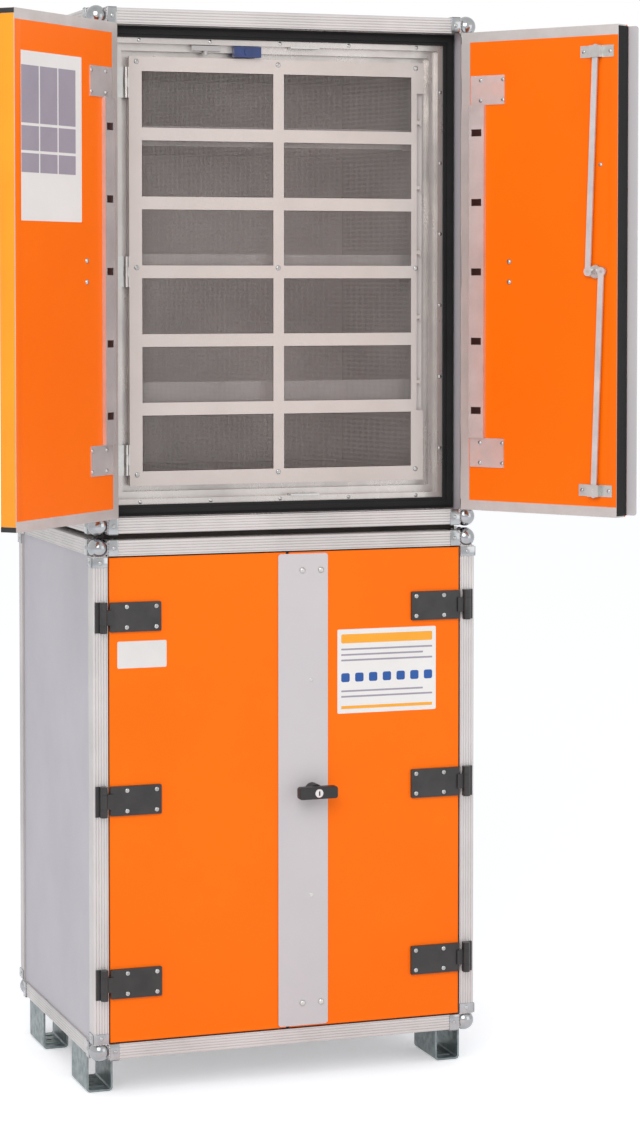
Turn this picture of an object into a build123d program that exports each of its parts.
from build123d import *
import os
from math import asin, degrees

# Two-module battery cabinet: a closed lower module on four feet carries an identical upper module,
# whose two doors stand open in front of a mesh door. Millimetres, +X right, +Y back, +Z up. The
# origin is on the floor at the middle of the feet.
os.makedirs("parts", exist_ok=True)

# ---- driving dimensions -------------------------------------------------------------------------
WIDTH = 800.0  # one module over its edge rails
DEPTH = 610.0
HEIGHT = 1020.0
FOOT_HEIGHT = 80.0
STACK_GAP = 12.0  # between the two modules, filled by the spacer board

RAIL = 31.0  # face of an edge rail
RAIL_WALL = 4.0
RAIL_ROUND = 5.0
GROOVE_PITCH = 7.0  # ribs along the faces of a rail
GROOVE_WIDTH = 1.6
GROOVE_DEPTH = 0.8
CORNER_LEG = 37.0  # how far a corner casting reaches along each rail
CORNER_SKIN = 1.6
LEG_START = 11.0  # from the ball's centre
BALL_RADIUS = 20.0

PANEL_THICK = 24.0
PANEL_PLAY = 0.2
INSULATION = 75.0
LINER_WALL = 2.0

LEAF_THICK = 34.0
LEAF_GAP = 3.0  # between a door leaf and the rails round it
MEETING_GAP = 6.0  # between the two leaves
EDGING_WALL = 2.0
EDGING_LIP = 20.0
LEFT_OPEN = 136.0  # rest angles of the upper doors
RIGHT_OPEN = 124.0

SEAL_WIDTH = 22.0
SEAL_THICK = 10.0
SEAL_PLAY = 1.5  # from a closed leaf to the seal
SEAL_BASE = 6.0
SEAL_BULB = 10.0
CENTRE_SEAL = 3.4
CENTRE_SEAL_TIP = 1.0
CENTRE_SEAL_FLAT = 17.0
SKIN_THICK = 6.0  # full-size front of a leaf, before the edging
TRIM_FACE = 11.0  # riveted face inside the seal
TRIM_BAND = 14.0  # band one step further back
TRIM_GROOVE = 13.0  # dark groove round the inner box
BAND_STEP = 14.0
GROOVE_STEP = 14.0
TRIM_DEEP = 34.0

HINGE_INSET = 20.0  # hinge axis from the outer side face
HINGE_FRONT = 9.0  # hinge axis in front of the front face
BARREL_RADIUS = 7.5
BARREL_LENGTH = 60.0
BARREL_JOINTS = 0.4
PIN_RADIUS = 3.5
RUNNING_FIT = 0.1  # radial clearance of pins and spindles
HINGE_PLATE_W = 104.0
HINGE_PLATE_H = 58.0
HINGE_PLATE_T = 5.0
POST_PLATE_T = 3.0
HINGE_END = 116.0  # outer hinges from the ends of a leaf
BACK_PLATE_W = 80.0
BACK_PLATE_T = 2.5

CATCH_W = 35.0
CATCH_H = 8.0
CATCH_WALL = 1.5
CATCH_SLOTS = 5
CATCH_SLOT_END = 55.0  # outer slots from the ends of a channel
CATCH_SLOT_H = 14.0
CATCH_SLOT_W = 24.0

STRIP_W = 104.0
STRIP_T = 2.5
STRIP_OVERHANG = 20.0
STRIP_END = 6.0
STRIP_RELIEF = 0.5

LOCK_X = 50.0  # lock axis, right of the module's middle
SPINDLE_RADIUS = 8.0
NECK_RADIUS = 15.0
HANDLE_REACH = 46.0  # front of the handle before the cover strip
HANDLE_ROUND = 5.0
HANDLE_PLAY = 0.3
HANDLE_BAR_L = 80.0
HANDLE_BAR_H = 24.0
HANDLE_BAR_T = 18.0
KEY_RADIUS = 8.5
KEY_PROUD = 2.0
KEY_DEEP = 14.0
CAM_RADIUS = 15.0
CAM_EYE = 9.0
CAM_THICK = 4.0
CAM_STANDOFF = 1.5
ROD_WIDTH = 12.0
ROD_THICK = 4.0
ROD_SHORT = 4.0  # between a rod's tip at rest and its keeper
ROD_PLAY = 0.3
CRANK_PIN_RADIUS = 3.0
GUIDE_END = 51.0  # middle of a rod guide from the end of its leaf
GUIDE_W = 75.0
GUIDE_H = 23.0
GUIDE_WALL = 2.0
GUIDE_PLAY = 4.0  # each side of a rod, for its swing
GUIDE_GAP = 1.0
KEEPER_W = 60.0
KEEPER_T = 3.0
KEEPER_REACH = 8.0  # ahead of the trim's face
KEEPER_SEAT = 12.0

MESH_PLAY = 0.5  # mesh door to the inner box, each side
MESH_LAP = 2.0  # mesh door over the inner box, above and below
MESH_FRONT = 54.0  # front of the mesh door behind the module's front face
MESH_SHEET = 2.5
MESH_FOLD = 8.0
MESH_BORDER_X = 26.0
MESH_BORDER_Z = 28.5
MESH_MID = 22.0
MESH_BAR = 25.0
MESH_ROWS = 6
MESH_COLS = 2
CLOTH_THICK = 0.8
TAB_COUNT = 5
TAB_PITCH = 131.0
TAB_MID = 40.0  # middle tab above the door's middle
TAB_NOTCH = 14.0
TAB_NECK = 9.0
TAB_HEAD = 14.0
TAB_HEAD_T = 3.0
NOTCH_LENGTH = 640.0
MESH_BARREL_R = 4.0
MESH_PIN_R = 1.8
MESH_AXIS_OUT = 6.0  # mesh hinge axis outside the door's edge
MESH_AXIS_IN = 2.0
MESH_HINGE_H = 60.0
MESH_HINGE_END = 51.0  # outer mesh hinges from the ends of the mesh door
MESH_LEAF_T = 1.6

SHELF_COUNT = 3
SHELF_PITCH = 253.0
SHELF_LOW = 252.0  # underside of the lowest shelf above the module's underside
SHELF_LIP = 40.0
SHELF_SHEET = 2.0
SHELF_PLAY = 2.0
SHELF_SETBACK = 20.0
BRACKET = 20.0
BRACKET_T = 2.0

SENSOR_X = -68.0
SENSOR_W = 56.0
SENSOR_H = 21.0
SENSOR_D = 17.0
SENSOR_KNOB = 7.0
SWITCH_X = -152.0
SWITCH_W = 60.0
SWITCH_H = 10.0
SWITCH_D = 12.0
SWITCH_KNOB = 5.0
SWITCH_DROP = 8.0

FOOT_W = 53.0
FOOT_L = 119.0
FOOT_SHEET = 4.0
FOOT_BEND = 8.0
FOOT_INSET_X = 4.0
FOOT_INSET_Y = 69.0
FOOT_BOLT = 11.0
FOOT_SLOT_L = 34.0
FOOT_SLOT_AT = 34.0
BOARD_INSET = 32.0

# ---- derived places -----------------------------------------------------------------------------
OPENING_W = WIDTH - 2 * RAIL
OPENING_H = HEIGHT - 2 * RAIL
MIDDLE = HEIGHT / 2
FRONT = -DEPTH / 2
HINGE_X = WIDTH / 2 - HINGE_INSET
HINGE_Y = FRONT - HINGE_FRONT
LEAF_OUT = WIDTH / 2 - RAIL - LEAF_GAP  # hinge-side edge of a leaf, from the middle
LEAF_IN = MEETING_GAP / 2
LEAF_W = LEAF_OUT - LEAF_IN
LEAF_H = OPENING_H - 2 * LEAF_GAP
HINGE_SPREAD = LEAF_H / 2 - HINGE_END  # from the middle hinge to the outer ones
HINGE_HEIGHTS = [MIDDLE + step * HINGE_SPREAD for step in (-1, 0, 1)]
LEAF_MID = (LEAF_OUT + LEAF_IN) / 2
PLATE_X = LEAF_OUT - HINGE_PLATE_W / 2
BACK_PLATE_X = LEAF_OUT - EDGING_LIP - BACK_PLATE_W / 2 - LEAF_GAP
CATCH_X = BACK_PLATE_X + (BACK_PLATE_W - CATCH_W) / 2
CATCH_L = 2 * HINGE_SPREAD - HINGE_PLATE_H
CATCH_SLOT_PITCH = (CATCH_L - 2 * CATCH_SLOT_END) / (CATCH_SLOTS - 1)
SEAL_AT = LEAF_THICK + SEAL_PLAY
TRIM_AT = SEAL_AT + SEAL_THICK
TRIM_BACK = TRIM_AT + TRIM_DEEP
FACE_INSET = RAIL + SEAL_WIDTH + TRIM_FACE
BAND_INSET = FACE_INSET + TRIM_BAND
BOX_INSET = BAND_INSET + TRIM_GROOVE
BAND_AT = TRIM_AT + BAND_STEP
GROOVE_AT = BAND_AT + GROOVE_STEP
MESH_W = WIDTH - 2 * (BOX_INSET + MESH_PLAY)
MESH_H = HEIGHT - 2 * (BOX_INSET - MESH_LAP)
FLANGE_AT = MESH_FRONT + MESH_FOLD + LINER_WALL
SHELL_IN = RAIL_WALL + PANEL_PLAY + PANEL_THICK  # inner face of the wall panels
INNER_INSET = SHELL_IN + INSULATION + LINER_WALL  # clear inside of the inner box
INNER_W = WIDTH - 2 * INNER_INSET
INNER_H = HEIGHT - 2 * INNER_INSET
INNER_BACK = DEPTH - INNER_INSET
STRIP_X = STRIP_W / 2 - STRIP_OVERHANG
CAM_AT = LEAF_THICK + CAM_STANDOFF
ROD_AT = CAM_AT + CAM_THICK + ROD_PLAY
ROD_TIP = HEIGHT / 2 - FACE_INSET - KEEPER_T - ROD_SHORT  # from the lock axis, at rest
GUIDE_AT = LEAF_H / 2 - GUIDE_END
ROD_LEAN = degrees(asin(CAM_RADIUS / GUIDE_AT))
MESH_AXIS_X = -MESH_W / 2 - MESH_AXIS_OUT
MESH_AXIS_AT = MESH_FRONT + MESH_AXIS_IN
TAB_EDGE = MESH_W / 2 - TAB_NOTCH
LOWER_BASE = FOOT_HEIGHT
UPPER_BASE = FOOT_HEIGHT + HEIGHT + STACK_GAP


def behind(depth):
    """Plane facing the front, this far behind the front face; its sketch y runs up the module."""
    return Plane.XZ.offset(-FRONT - depth)


def ring(outer_inset, inner_inset, front, back):
    """Rectangular ring round the front opening, between two insets and two depths."""
    with BuildSketch(behind(front)) as outline:
        with Locations((0, MIDDLE)):
            Rectangle(WIDTH - 2 * outer_inset, HEIGHT - 2 * outer_inset)
            Rectangle(WIDTH - 2 * inner_inset, HEIGHT - 2 * inner_inset, mode=Mode.SUBTRACT)
    extrude(outline.sketch, amount=front - back)


def rail_section(side_x, side_y):
    """Section of an edge rail: an angle whose rounded, ribbed corner points to the given signs."""
    with BuildSketch() as section:
        Rectangle(RAIL, RAIL)
        fillet(section.vertices(), RAIL_ROUND)
        with Locations((-side_x * RAIL_WALL, -side_y * RAIL_WALL)):
            Rectangle(RAIL, RAIL, mode=Mode.SUBTRACT)
        for step in (-1, 0, 1):
            with Locations((step * GROOVE_PITCH, side_y * RAIL / 2)):
                Rectangle(GROOVE_WIDTH, 2 * GROOVE_DEPTH, mode=Mode.SUBTRACT)
            with Locations((side_x * RAIL / 2, step * GROOVE_PITCH)):
                Rectangle(2 * GROOVE_DEPTH, GROOVE_WIDTH, mode=Mode.SUBTRACT)
    return section.sketch


# ---- housing of one module, its underside at z = 0 ----------------------------------------------
RAIL_X = (WIDTH - RAIL) / 2
RAIL_Y = (DEPTH - RAIL) / 2
RAIL_Z = (HEIGHT - RAIL) / 2

# Twelve ribbed angle rails, ending at the corner castings.
with BuildPart() as frame_rails:
    for a in (-1, 1):
        for b in (-1, 1):
            with BuildSketch(Plane((a * RAIL_X, b * RAIL_Y, RAIL))):
                add(rail_section(a, b))
            extrude(amount=OPENING_H)
            along_y = Plane((a * RAIL_X, DEPTH / 2 - RAIL, MIDDLE + b * RAIL_Z), (1, 0, 0), (0, -1, 0))
            with BuildSketch(along_y):
                add(rail_section(a, b))
            extrude(amount=DEPTH - 2 * RAIL)
            along_x = Plane((RAIL - WIDTH / 2, a * RAIL_Y, MIDDLE + b * RAIL_Z), (0, 1, 0), (1, 0, 0))
            with BuildSketch(along_x):
                add(rail_section(a, b))
            extrude(amount=OPENING_W)

# A corner casting: a ball with an angle clasped over the end of each rail, hollow inside where the
# wall panels meet.
LEG_SPAN = CORNER_LEG + RAIL / 2 - LEG_START
PLATE_OUT = RAIL / 2 + CORNER_SKIN
HOLLOW = RAIL / 2 - RAIL_WALL
with BuildPart() as casting:
    Sphere(BALL_RADIUS)
    with Locations((-RAIL / 2, -RAIL / 2, -RAIL / 2)):
        Box(LEG_SPAN, LEG_SPAN, LEG_SPAN, align=(Align.MIN, Align.MIN, Align.MIN), mode=Mode.INTERSECT)
    for long_axis in range(3):
        for thin_axis in range(3):
            if thin_axis != long_axis:
                size = [RAIL + CORNER_SKIN] * 3
                size[long_axis] = LEG_SPAN
                size[thin_axis] = CORNER_SKIN
                corner = [PLATE_OUT] * 3
                corner[long_axis] = -LEG_START
                with Locations(tuple(corner)):
                    Box(*size, align=(Align.MAX, Align.MAX, Align.MAX))
    with Locations((HOLLOW, HOLLOW, HOLLOW)):
        Box(LEG_SPAN, LEG_SPAN, LEG_SPAN, align=(Align.MAX, Align.MAX, Align.MAX), mode=Mode.SUBTRACT)
with BuildPart() as corner_balls:
    with Locations((RAIL_X, RAIL_Y, MIDDLE + RAIL_Z)):
        add(casting.part)
    mirror(about=Plane.YZ)
    mirror(about=Plane.XZ)
    mirror(about=Plane.XY.offset(MIDDLE))

# Five sandwich panels held in the rails, and the fire-resistant lining behind them, each separate.
with BuildPart() as wall_panels:
    sheet_in = RAIL_WALL + PANEL_PLAY
    between_w = WIDTH - 2 * SHELL_IN
    between_h = HEIGHT - 2 * SHELL_IN
    for side in (-1, 1):
        with Locations((side * (WIDTH / 2 - sheet_in - PANEL_THICK / 2), 0, MIDDLE)):
            Box(PANEL_THICK, DEPTH - 2 * sheet_in, HEIGHT - 2 * sheet_in)
        with Locations((0, 0, MIDDLE + side * (HEIGHT / 2 - sheet_in - PANEL_THICK / 2))):
            Box(between_w - 2 * PANEL_PLAY, DEPTH - 2 * sheet_in, PANEL_THICK)
    with Locations((0, DEPTH / 2 - sheet_in - PANEL_THICK / 2, MIDDLE)):
        Box(between_w - 2 * PANEL_PLAY, PANEL_THICK, between_h - 2 * PANEL_PLAY)
    with BuildSketch(behind(TRIM_BACK)):
        with Locations((0, MIDDLE)):
            Rectangle(between_w - 2 * PANEL_PLAY, between_h - 2 * PANEL_PLAY)
    extrude(amount=TRIM_BACK + SHELL_IN + PANEL_PLAY - DEPTH)
    with BuildSketch(behind(TRIM_BACK)):
        with Locations((0, MIDDLE)):
            Rectangle(INNER_W + 2 * LINER_WALL, INNER_H + 2 * LINER_WALL)
    extrude(amount=TRIM_BACK - INNER_BACK - LINER_WALL, mode=Mode.SUBTRACT)

# Inner sheet box: flange behind the mesh door, return to the trim, walls, back and shelf runners.
RUNNER_DEEP = INNER_BACK - FLANGE_AT - 2 * SHELF_SETBACK
RUNNER_Y = FRONT + FLANGE_AT + SHELF_SETBACK + RUNNER_DEEP / 2
SHELF_HEIGHTS = [SHELF_LOW + step * SHELF_PITCH for step in range(SHELF_COUNT)]
with BuildPart() as liner:
    ring(BOX_INSET, INNER_INSET, FLANGE_AT, FLANGE_AT + LINER_WALL)
    ring(BOX_INSET, BOX_INSET + LINER_WALL, FLANGE_AT, TRIM_BACK)
    ring(INNER_INSET - LINER_WALL, INNER_INSET, FLANGE_AT, INNER_BACK + LINER_WALL)
    with Locations((0, FRONT + INNER_BACK + LINER_WALL / 2, MIDDLE)):
        Box(INNER_W, LINER_WALL, INNER_H)
    for side in (-1, 1):
        for height in SHELF_HEIGHTS:
            with Locations((side * (INNER_W - BRACKET) / 2, RUNNER_Y, height - BRACKET_T / 2)):
                Box(BRACKET, RUNNER_DEEP, BRACKET_T)
            with Locations((side * (INNER_W - BRACKET_T) / 2, RUNNER_Y, height - BRACKET / 2)):
                Box(BRACKET_T, RUNNER_DEEP, BRACKET)

# Stepped aluminium trim round the opening: riveted face, band and groove.
with BuildPart() as opening_trim:
    ring(SHELL_IN, FACE_INSET, TRIM_AT, TRIM_BACK)
    ring(FACE_INSET, BAND_INSET, BAND_AT, TRIM_BACK)
    ring(BAND_INSET, BOX_INSET, GROOVE_AT, TRIM_BACK)

# Rubber door seal: a flat base with a raised bulb.
with BuildPart() as door_seal:
    ring(RAIL, RAIL + SEAL_WIDTH, TRIM_AT - SEAL_BASE, TRIM_AT)
    bulb_inset = RAIL + (SEAL_WIDTH - SEAL_BULB) / 2
    ring(bulb_inset, bulb_inset + SEAL_BULB, SEAL_AT, TRIM_AT - SEAL_BASE)

# Shelf trays: a plate with a tall front lip and a low back lip.
SHELF_DEEP = INNER_BACK - FLANGE_AT - SHELF_SETBACK - SHELF_PLAY
with BuildPart() as shelves:
    for height in SHELF_HEIGHTS:
        tray = Plane((0, FRONT + FLANGE_AT + SHELF_SETBACK, height), (1, 0, 0), (0, 0, 1))
        with BuildSketch(tray):
            with Locations((0, SHELF_DEEP / 2)):
                Rectangle(INNER_W - 2 * SHELF_PLAY, SHELF_DEEP)
        extrude(amount=SHELF_SHEET)
        with BuildSketch(tray):
            with Locations((0, SHELF_SHEET / 2)):
                Rectangle(INNER_W - 2 * SHELF_PLAY, SHELF_SHEET)
        extrude(amount=SHELF_LIP)
        with BuildSketch(tray):
            with Locations((0, SHELF_DEEP - SHELF_SHEET / 2)):
                Rectangle(INNER_W - 2 * SHELF_PLAY, SHELF_SHEET)
        extrude(amount=SHELF_LIP / 2)

# ---- door hinges --------------------------------------------------------------------------------
KNUCKLE = BARREL_LENGTH / 4  # end knuckle; the door's knuckle is twice as long


def post_hinge(side, height):
    """Post half of a hinge: plate on the rail, two end knuckles and the fixed pin."""
    axis = Plane((side * HINGE_X, HINGE_Y, height - BARREL_LENGTH / 2))
    with Locations((side * (WIDTH / 2 - RAIL / 2), FRONT - POST_PLATE_T / 2, height)):
        Box(RAIL - 2 * RAIL_ROUND, POST_PLATE_T, BARREL_LENGTH)
    with BuildSketch(axis.offset(KNUCKLE)) as clearance:
        Circle(BARREL_RADIUS + BARREL_JOINTS)
    extrude(clearance.sketch, amount=BARREL_LENGTH - 2 * KNUCKLE, mode=Mode.SUBTRACT)
    with BuildSketch(axis, axis.offset(BARREL_LENGTH - KNUCKLE)) as knuckles:
        Circle(BARREL_RADIUS)
    extrude(knuckles.sketch, amount=KNUCKLE)
    with BuildSketch(axis) as pin:
        Circle(PIN_RADIUS)
    extrude(pin.sketch, amount=BARREL_LENGTH)


def leaf_hinge(side, height):
    """Door half of a hinge: screwed plate, neck and the bored middle knuckle."""
    knuckle_h = BARREL_LENGTH - 2 * KNUCKLE - 2 * BARREL_JOINTS
    axis = Plane((side * HINGE_X, HINGE_Y, height - knuckle_h / 2))
    plate = Plane((side * PLATE_X, FRONT, height), (1, 0, 0), (0, -1, 0))
    with BuildSketch(plate) as outline:
        Rectangle(HINGE_PLATE_W, HINGE_PLATE_H)
        fillet(outline.vertices(), HINGE_PLATE_T / 2)
    extrude(outline.sketch, amount=HINGE_PLATE_T)
    neck_front = HINGE_FRONT - POST_PLATE_T - BARREL_JOINTS
    with BuildSketch(axis) as knuckle:
        Circle(BARREL_RADIUS)
        with Locations((-side * (HINGE_X - LEAF_OUT + HINGE_PLATE_T) / 2, neck_front / 2)):
            Rectangle(HINGE_X - LEAF_OUT + HINGE_PLATE_T, neck_front)
    extrude(knuckle.sketch, amount=knuckle_h)
    with BuildSketch(axis) as bore:
        Circle(PIN_RADIUS + RUNNING_FIT)
    extrude(bore.sketch, amount=knuckle_h, mode=Mode.SUBTRACT)


with BuildPart() as hinge_posts:
    for side in (-1, 1):
        for height in HINGE_HEIGHTS:
            post_hinge(side, height)

# ---- door leaves, closed; side is -1 for the left leaf and 1 for the right ----------------------
LOCK_AXIS = Axis((LOCK_X, 0, MIDDLE), (0, -1, 0))


def leaf_panel(side):
    """Orange sandwich leaf: a full-size front skin over a core that the edging wraps."""
    with BuildPart() as leaf:
        with BuildSketch(behind(0)):
            with Locations((side * LEAF_MID, MIDDLE)):
                Rectangle(LEAF_W, LEAF_H)
        extrude(amount=-SKIN_THICK)
        chamfer(leaf.faces().sort_by(Axis.Y)[0].edges(), EDGING_WALL / 2)
        with BuildSketch(behind(SKIN_THICK)):
            with Locations((side * LEAF_MID, MIDDLE)):
                Rectangle(LEAF_W - 2 * EDGING_WALL, LEAF_H - 2 * EDGING_WALL)
        extrude(amount=SKIN_THICK + EDGING_WALL - LEAF_THICK)
        with BuildSketch(behind(LEAF_THICK - EDGING_WALL)):
            with Locations((side * LEAF_MID, MIDDLE)):
                Rectangle(LEAF_W - 2 * EDGING_LIP, LEAF_H - 2 * EDGING_LIP)
        extrude(amount=-EDGING_WALL)
        if side > 0:
            with BuildSketch(behind(0)):
                with Locations((LOCK_X, MIDDLE)):
                    Circle(SPINDLE_RADIUS + RUNNING_FIT)
            extrude(amount=-LEAF_THICK, mode=Mode.SUBTRACT)
    return leaf.part


def leaf_edging(side):
    """Aluminium edge profile of a leaf: wall round its edge and lip on its inner face."""
    with BuildPart() as edging:
        with BuildSketch(behind(SKIN_THICK)):
            with Locations((side * LEAF_MID, MIDDLE)):
                Rectangle(LEAF_W, LEAF_H)
        extrude(amount=SKIN_THICK - LEAF_THICK)
        with BuildSketch(behind(SKIN_THICK)):
            with Locations((side * LEAF_MID, MIDDLE)):
                Rectangle(LEAF_W - 2 * EDGING_WALL, LEAF_H - 2 * EDGING_WALL)
        extrude(amount=SKIN_THICK + EDGING_WALL - LEAF_THICK, mode=Mode.SUBTRACT)
        with BuildSketch(behind(LEAF_THICK)):
            with Locations((side * LEAF_MID, MIDDLE)):
                Rectangle(LEAF_W - 2 * EDGING_LIP, LEAF_H - 2 * EDGING_LIP)
        extrude(amount=EDGING_WALL, mode=Mode.SUBTRACT)
    return edging.part


def leaf_hinges(side):
    """The three door halves of a leaf's hinges."""
    with BuildPart() as halves:
        for height in HINGE_HEIGHTS:
            leaf_hinge(side, height)
    return halves.part


def catch_strip(side):
    """Slotted hinge-side channel on a leaf's inner face, with a plate behind each outer hinge."""
    with BuildPart() as strip:
        for height in (HINGE_HEIGHTS[0], HINGE_HEIGHTS[-1]):
            with BuildSketch(behind(LEAF_THICK)):
                with Locations((side * BACK_PLATE_X, height)):
                    Rectangle(BACK_PLATE_W, HINGE_PLATE_H)
            extrude(amount=-BACK_PLATE_T)
        with BuildSketch(behind(LEAF_THICK)):
            with Locations((side * CATCH_X, MIDDLE)):
                Rectangle(CATCH_W, CATCH_L)
        extrude(amount=-CATCH_H)
        with BuildSketch(behind(LEAF_THICK)):
            with Locations((side * CATCH_X, MIDDLE)):
                Rectangle(CATCH_W - 2 * CATCH_WALL, CATCH_L)
        extrude(amount=CATCH_WALL - CATCH_H, mode=Mode.SUBTRACT)
        with BuildSketch(behind(LEAF_THICK)):
            with Locations((side * CATCH_X, MIDDLE)):
                with GridLocations(0, CATCH_SLOT_PITCH, 1, CATCH_SLOTS):
                    Rectangle(CATCH_SLOT_W, CATCH_SLOT_H)
        extrude(amount=-CATCH_H, mode=Mode.SUBTRACT)
    return strip.part


# Cover strip of the right leaf, overhanging the left one with a little relief behind.
with BuildPart() as cover_strip:
    with BuildSketch(behind(0)) as outline:
        with Locations((STRIP_X, MIDDLE)):
            Rectangle(STRIP_W, OPENING_H - 2 * STRIP_END)
        fillet(outline.vertices(), STRIP_END)
        with Locations((LOCK_X, MIDDLE)):
            Circle(SPINDLE_RADIUS + RUNNING_FIT, mode=Mode.SUBTRACT)
    extrude(amount=STRIP_T)
    with BuildSketch(behind(0)):
        with Locations((LEAF_IN, MIDDLE)):
            Rectangle(STRIP_W, OPENING_H, align=(Align.MAX, Align.CENTER))
    extrude(amount=STRIP_RELIEF, mode=Mode.SUBTRACT)

# Rubber seal on the free end of the right leaf, thinner towards the inside so that it clears.
with BuildPart() as centre_seal:
    with BuildSketch(Plane.XY.offset(RAIL + 2 * LEAF_GAP)):
        with BuildLine():
            front_y = FRONT + LEAF_GAP
            flat_y = front_y + CENTRE_SEAL_FLAT
            back_y = FRONT + LEAF_THICK - RUNNING_FIT
            Polyline(
                (LEAF_IN, front_y),
                (LEAF_IN - CENTRE_SEAL, front_y),
                (LEAF_IN - CENTRE_SEAL, flat_y),
                (LEAF_IN - CENTRE_SEAL_TIP, back_y),
                (LEAF_IN, back_y),
                close=True,
            )
        make_face()
    extrude(amount=LEAF_H - 2 * LEAF_GAP)

# ---- lock: handle and cam turn together and draw two rods in or out -----------------------------
BAR_AT = -STRIP_T - HANDLE_REACH
with BuildPart() as handle:
    with BuildSketch(behind(BAR_AT)) as bar:
        with Locations((LOCK_X, MIDDLE)):
            Rectangle(HANDLE_BAR_L, HANDLE_BAR_H)
        fillet(bar.vertices(), HANDLE_ROUND)
    extrude(amount=-HANDLE_BAR_T)
    fillet(handle.faces().sort_by(Axis.Y)[0].edges(), HANDLE_ROUND / 2)
    with BuildSketch(behind(BAR_AT + HANDLE_BAR_T)):
        with Locations((LOCK_X, MIDDLE)):
            Circle(NECK_RADIUS)
    extrude(amount=BAR_AT + HANDLE_BAR_T + STRIP_T + HANDLE_PLAY)
    with BuildSketch(behind(-STRIP_T - HANDLE_PLAY)):
        with Locations((LOCK_X, MIDDLE)):
            Circle(SPINDLE_RADIUS)
    extrude(amount=-STRIP_T - HANDLE_PLAY - CAM_AT)
    with BuildSketch(behind(BAR_AT)):
        with Locations((LOCK_X, MIDDLE)):
            Circle(KEY_RADIUS + RUNNING_FIT)
    extrude(amount=-KEY_DEEP, mode=Mode.SUBTRACT)

# Key cylinder in the handle's bore.
with BuildPart() as key_cylinder:
    with BuildSketch(behind(BAR_AT - KEY_PROUD)):
        with Locations((LOCK_X, MIDDLE)):
            Circle(KEY_RADIUS)
    extrude(amount=RUNNING_FIT - KEY_PROUD - KEY_DEEP)
    chamfer(key_cylinder.faces().sort_by(Axis.Y)[0].edges(), KEY_PROUD / 2)

# Cam on the spindle's inner end, with a crank pin at each end.
with BuildPart() as cam:
    with BuildSketch(behind(CAM_AT)):
        with Locations((LOCK_X, MIDDLE)):
            SlotOverall(2 * (CAM_RADIUS + CAM_EYE), 2 * CAM_EYE)
            Circle(CAM_EYE + CAM_THICK)
    extrude(amount=-CAM_THICK)
    with BuildSketch(behind(CAM_AT)):
        with Locations((LOCK_X - CAM_RADIUS, MIDDLE), (LOCK_X + CAM_RADIUS, MIDDLE)):
            Circle(CRANK_PIN_RADIUS)
    extrude(amount=CAM_AT - ROD_AT - ROD_THICK)

# Upper lock rod: a flat bar from its crank pin through the guide; the lower rod is the same one
# turned half round the lock axis.
ROD_LENGTH = (ROD_TIP**2 + CAM_RADIUS**2) ** 0.5
CRANK_X = LOCK_X + CAM_RADIUS
with BuildPart() as upper_rod:
    with BuildSketch(behind(ROD_AT)):
        with Locations((CRANK_X, MIDDLE)):
            Circle(CAM_EYE - ROD_PLAY)
            Rectangle(ROD_WIDTH, ROD_LENGTH - ROD_WIDTH / 2, align=(Align.CENTER, Align.MIN))
        with Locations((CRANK_X, MIDDLE + ROD_LENGTH - ROD_WIDTH / 2)):
            Circle(ROD_WIDTH / 2)
        with Locations((CRANK_X, MIDDLE)):
            Circle(CRANK_PIN_RADIUS + RUNNING_FIT, mode=Mode.SUBTRACT)
    extrude(amount=-ROD_THICK)
upper_rod.part = upper_rod.part.rotate(Axis((CRANK_X, 0, MIDDLE), (0, -1, 0)), ROD_LEAN)
lower_rod_part = upper_rod.part.rotate(LOCK_AXIS, 180)

# Guides: a hat-shaped bracket over each rod near its tip.
GUIDE_TOP = ROD_AT + ROD_THICK + GUIDE_GAP + GUIDE_WALL
with BuildPart() as rod_guides:
    for way in (-1, 1):
        with BuildSketch(Plane.XY.offset(MIDDLE + way * GUIDE_AT - GUIDE_H / 2)):
            foot = FRONT + LEAF_THICK
            slot_w = ROD_WIDTH + 2 * GUIDE_PLAY
            with Locations((LOCK_X, foot)):
                Rectangle(GUIDE_W, GUIDE_WALL, align=(Align.CENTER, Align.MIN))
                Rectangle(
                    slot_w + 2 * GUIDE_WALL,
                    GUIDE_TOP - LEAF_THICK,
                    align=(Align.CENTER, Align.MIN),
                )
            with Locations((LOCK_X, foot)):
                Rectangle(
                    slot_w,
                    GUIDE_TOP - GUIDE_WALL - LEAF_THICK,
                    align=(Align.CENTER, Align.MIN),
                    mode=Mode.SUBTRACT,
                )
        extrude(amount=GUIDE_H)

# Keepers: slotted plates on the inner face of the trim, above and below, for the rod tips.
KEEPER_FRONT = TRIM_AT - KEEPER_REACH
with BuildPart() as rod_keepers:
    for way in (-1, 1):
        inner = MIDDLE + way * (HEIGHT / 2 - FACE_INSET - KEEPER_T / 2)
        with Locations((LOCK_X, FRONT + KEEPER_FRONT, inner)):
            Box(
                KEEPER_W,
                KEEPER_REACH + KEEPER_SEAT,
                KEEPER_T,
                align=(Align.CENTER, Align.MIN, Align.CENTER),
            )
        with Locations((LOCK_X, FRONT + ROD_AT + ROD_THICK / 2, inner)):
            Box(
                ROD_WIDTH + 2 * GUIDE_PLAY,
                ROD_THICK + 2 * GUIDE_GAP,
                KEEPER_T,
                mode=Mode.SUBTRACT,
            )

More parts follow.
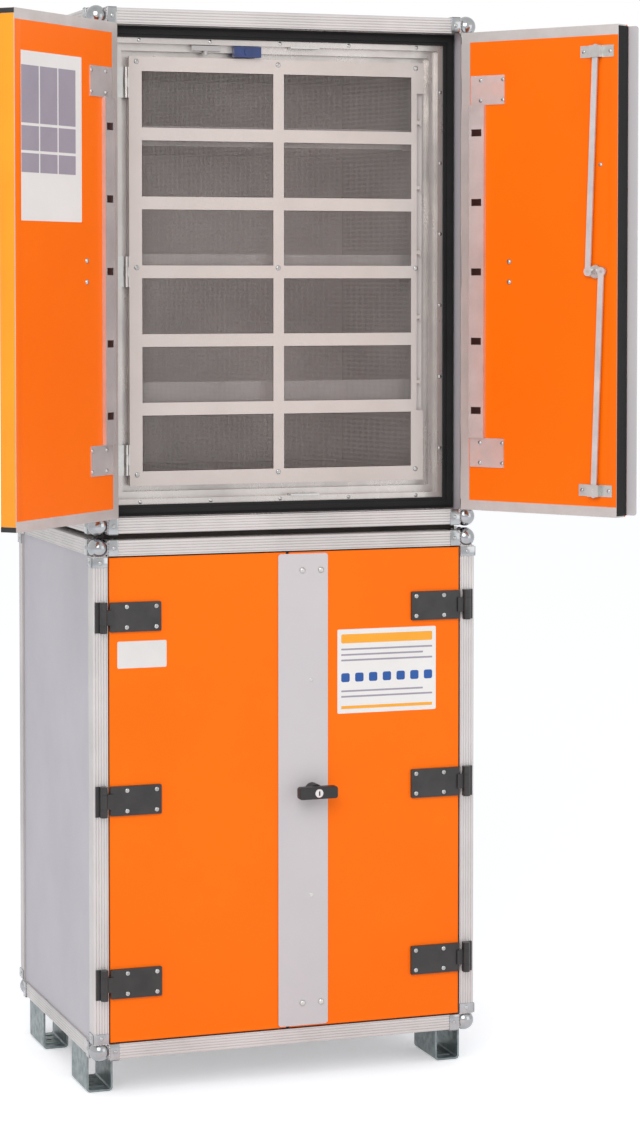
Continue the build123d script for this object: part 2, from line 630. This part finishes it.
# ---- mesh door ----------------------------------------------------------------------------------
PANE_W = (MESH_W - 2 * MESH_BORDER_X - (MESH_COLS - 1) * MESH_MID) / MESH_COLS
PANE_H = (MESH_H - 2 * MESH_BORDER_Z - (MESH_ROWS - 1) * MESH_BAR) / MESH_ROWS
with BuildPart() as mesh_frame:
    with BuildSketch(behind(MESH_FRONT)):
        with Locations((0, MIDDLE)):
            Rectangle(MESH_W, MESH_H)
    extrude(amount=-MESH_FOLD)
    with BuildSketch(behind(MESH_FRONT + MESH_SHEET)):
        with Locations((0, MIDDLE)):
            Rectangle(MESH_W - 2 * MESH_SHEET, MESH_H - 2 * MESH_SHEET)
    extrude(amount=-MESH_FOLD, mode=Mode.SUBTRACT)
    with BuildSketch(behind(MESH_FRONT)):
        with Locations((0, MIDDLE)):
            with GridLocations(PANE_W + MESH_MID, PANE_H + MESH_BAR, MESH_COLS, MESH_ROWS):
                Rectangle(PANE_W, PANE_H)
        with Locations((TAB_EDGE, MIDDLE + TAB_MID)):
            Rectangle(2 * TAB_NOTCH, NOTCH_LENGTH, align=(Align.MIN, Align.CENTER))
    extrude(amount=-MESH_FOLD, mode=Mode.SUBTRACT)
    with BuildSketch(behind(MESH_FRONT)):
        with Locations((TAB_EDGE, MIDDLE + TAB_MID)):
            with GridLocations(0, TAB_PITCH, 1, TAB_COUNT):
                Rectangle(2 * TAB_NECK, TAB_HEAD / 2)
        with Locations((TAB_EDGE + TAB_NECK - TAB_HEAD_T / 2, MIDDLE + TAB_MID)):
            with GridLocations(0, TAB_PITCH, 1, TAB_COUNT):
                Rectangle(TAB_HEAD_T, TAB_HEAD)
    extrude(amount=-MESH_SHEET)

# Wire cloth lying on the back of the frame's sheet.
with BuildPart() as mesh_cloth:
    with BuildSketch(behind(MESH_FRONT + MESH_SHEET)):
        with Locations((0, MIDDLE)):
            Rectangle(
                2 * TAB_EDGE - 2 * MESH_SHEET,
                MESH_H - 2 * MESH_BORDER_Z + 2 * MESH_SHEET,
            )
    extrude(amount=-CLOTH_THICK)

MESH_KNUCKLE = MESH_HINGE_H / 3
MESH_HINGE_SPREAD = MESH_H / 2 - MESH_HINGE_END
MESH_HEIGHTS = [MIDDLE + step * MESH_HINGE_SPREAD for step in (-1, 0, 1)]
with BuildPart() as mesh_hinge_posts:
    for height in MESH_HEIGHTS:
        axis = Plane((MESH_AXIS_X, FRONT + MESH_AXIS_AT, height - MESH_HINGE_H / 2))
        band_x = FACE_INSET - WIDTH / 2
        plate_w = MESH_AXIS_X - MESH_BARREL_R - BARREL_JOINTS - band_x
        with Locations((band_x, FRONT + BAND_AT - MESH_LEAF_T / 2, height)):
            Box(plate_w, MESH_LEAF_T, MESH_HINGE_H, align=(Align.MIN, Align.CENTER, Align.CENTER))
        with BuildSketch(axis, axis.offset(2 * MESH_KNUCKLE)):
            Circle(MESH_BARREL_R)
            with Locations((0, BAND_AT - MESH_AXIS_AT - MESH_LEAF_T)):
                Rectangle(2 * MESH_BARREL_R, MESH_LEAF_T, align=(Align.MAX, Align.MIN))
        extrude(amount=MESH_KNUCKLE)
        with BuildSketch(axis):
            Circle(MESH_PIN_R)
        extrude(amount=MESH_HINGE_H)

with BuildPart() as mesh_hinge_leaves:
    for height in MESH_HEIGHTS:
        knuckle_h = MESH_KNUCKLE - 2 * BARREL_JOINTS
        axis = Plane((MESH_AXIS_X, FRONT + MESH_AXIS_AT, height - knuckle_h / 2))
        with Locations((-MESH_W / 2, FRONT + MESH_FRONT + MESH_FOLD, height)):
            Box(MESH_LEAF_T, MESH_FOLD, MESH_HINGE_H, align=(Align.MAX, Align.MAX, Align.CENTER))
        with BuildSketch(axis):
            Circle(MESH_BARREL_R)
            Rectangle(MESH_AXIS_OUT, MESH_BARREL_R, align=(Align.MIN, Align.CENTER))
        extrude(amount=knuckle_h)
        with BuildSketch(axis):
            Circle(MESH_PIN_R + RUNNING_FIT)
        extrude(amount=knuckle_h, mode=Mode.SUBTRACT)

# ---- fittings over the mesh door, and what carries the stack ------------------------------------
# Heat sensor housing and a round-headed door switch, both on the trim's band.
BAND_TOP = HEIGHT - FACE_INSET
with BuildPart() as ceiling_fittings:
    with Locations((SENSOR_X, FRONT + BAND_AT - SENSOR_D / 2, BAND_TOP - LEAF_GAP / 2 - SENSOR_H / 2)):
        Box(SENSOR_W, SENSOR_D, SENSOR_H)
    with BuildSketch(behind(BAND_AT - SENSOR_D)):
        with Locations((SENSOR_X, BAND_TOP - LEAF_GAP / 2 - SENSOR_H / 2)):
            Circle(SENSOR_KNOB)
    extrude(amount=LEAF_GAP / 2)
    with Locations((SWITCH_X, FRONT + BAND_AT - SWITCH_D / 2, BAND_TOP - LEAF_GAP / 2 - SWITCH_H / 2)):
        Box(SWITCH_W, SWITCH_D, SWITCH_H)
    with Locations((SWITCH_X, FRONT + BAND_AT - SWITCH_D / 2, BAND_TOP - LEAF_GAP / 2 - SWITCH_H)):
        Cylinder(SWITCH_KNOB, SWITCH_DROP, align=(Align.CENTER, Align.CENTER, Align.MAX))

# Folded U-shaped feet under the lower module, each with a bolt hole and two slots in its base.
with BuildPart() as feet:
    foot_x = WIDTH / 2 - FOOT_INSET_X - FOOT_W / 2
    foot_y = DEPTH / 2 - FOOT_INSET_Y - FOOT_L / 2
    for x in (-foot_x, foot_x):
        for y in (-foot_y, foot_y):
            with BuildSketch(Plane((x, y + FOOT_L / 2, 0), (1, 0, 0), (0, -1, 0))) as bend:
                Rectangle(FOOT_W, FOOT_HEIGHT, align=(Align.CENTER, Align.MIN))
                fillet(bend.vertices().group_by(Axis.Y)[0], FOOT_BEND)
                offset(amount=-FOOT_SHEET, mode=Mode.SUBTRACT)
                with Locations((0, FOOT_HEIGHT)):
                    Rectangle(FOOT_W - 2 * FOOT_SHEET, 2 * FOOT_SHEET, mode=Mode.SUBTRACT)
            extrude(amount=FOOT_L)
            with BuildSketch(Plane((x, y, 0))):
                Circle(FOOT_BOLT / 2)
                with Locations((0, -FOOT_SLOT_AT), (0, FOOT_SLOT_AT)):
                    SlotOverall(FOOT_SLOT_L, FOOT_BOLT)
            extrude(amount=FOOT_SHEET, mode=Mode.SUBTRACT)

# Dark board between the two modules, lying on the panels inside the edge rails.
BOARD_THICK = STACK_GAP + 2 * (RAIL_WALL + PANEL_PLAY)
with BuildPart() as stack_board:
    with Locations((0, 0, UPPER_BASE - STACK_GAP / 2)):
        Box(WIDTH - 2 * BOARD_INSET, DEPTH - 2 * BOARD_INSET, BOARD_THICK)


# ---- writing ------------------------------------------------------------------------------------
def write(part, name):
    """Label a finished piece and write its file."""
    part.label = name
    export_step(part, f"parts/{name}.step")


def swing(part, side, angle):
    """Turn a door's piece outward about its hinge axis; side is -1 left, 1 right."""
    return part.rotate(Axis((side * HINGE_X, HINGE_Y, 0), (0, 0, 1)), side * angle)


HOUSING = {
    "frame_rails": frame_rails.part,
    "corner_balls": corner_balls.part,
    "wall_panels": wall_panels.part,
    "liner": liner.part,
    "opening_trim": opening_trim.part,
    "door_seal": door_seal.part,
    "shelves": shelves.part,
    "hinge_posts": hinge_posts.part,
    "rod_keepers": rod_keepers.part,
    "mesh_frame": mesh_frame.part,
    "mesh_cloth": mesh_cloth.part,
}
LEFT_DOOR = {
    "left_panel": leaf_panel(-1),
    "left_edging": leaf_edging(-1),
    "left_hinge_leaves": leaf_hinges(-1),
    "left_catch_strip": catch_strip(-1),
}
RIGHT_DOOR = {
    "right_panel": leaf_panel(1),
    "right_edging": leaf_edging(1),
    "right_hinge_leaves": leaf_hinges(1),
    "right_catch_strip": catch_strip(1),
    "cover_strip": cover_strip.part,
    "centre_seal": centre_seal.part,
    "rod_guides": rod_guides.part,
    "handle": handle.part,
    "key_cylinder": key_cylinder.part,
    "cam": cam.part,
    "upper_rod": upper_rod.part,
    "lower_rod": lower_rod_part,
}
UPPER_ONLY = {
    "mesh_hinge_posts": mesh_hinge_posts.part,
    "mesh_hinge_leaves": mesh_hinge_leaves.part,
    "ceiling_fittings": ceiling_fittings.part,
}
with BuildPart() as lower_mesh_hinges:
    add(mesh_hinge_posts.part)
    add(mesh_hinge_leaves.part)

for module, base, left_open, right_open in (
    ("lower", LOWER_BASE, 0, 0),
    ("upper", UPPER_BASE, LEFT_OPEN, RIGHT_OPEN),
):
    lift = Pos(0, 0, base)
    for name, part in HOUSING.items():
        write(lift * part, f"{module}_{name}")
    for name, part in LEFT_DOOR.items():
        write(lift * swing(part, -1, left_open), f"{module}_{name}")
    for name, part in RIGHT_DOOR.items():
        write(lift * swing(part, 1, right_open), f"{module}_{name}")
for name, part in UPPER_ONLY.items():
    write(Pos(0, 0, UPPER_BASE) * part, f"upper_{name}")
write(Pos(0, 0, LOWER_BASE) * lower_mesh_hinges.part, "lower_mesh_hinges")
write(feet.part, "feet")
write(stack_board.part, "stack_board")
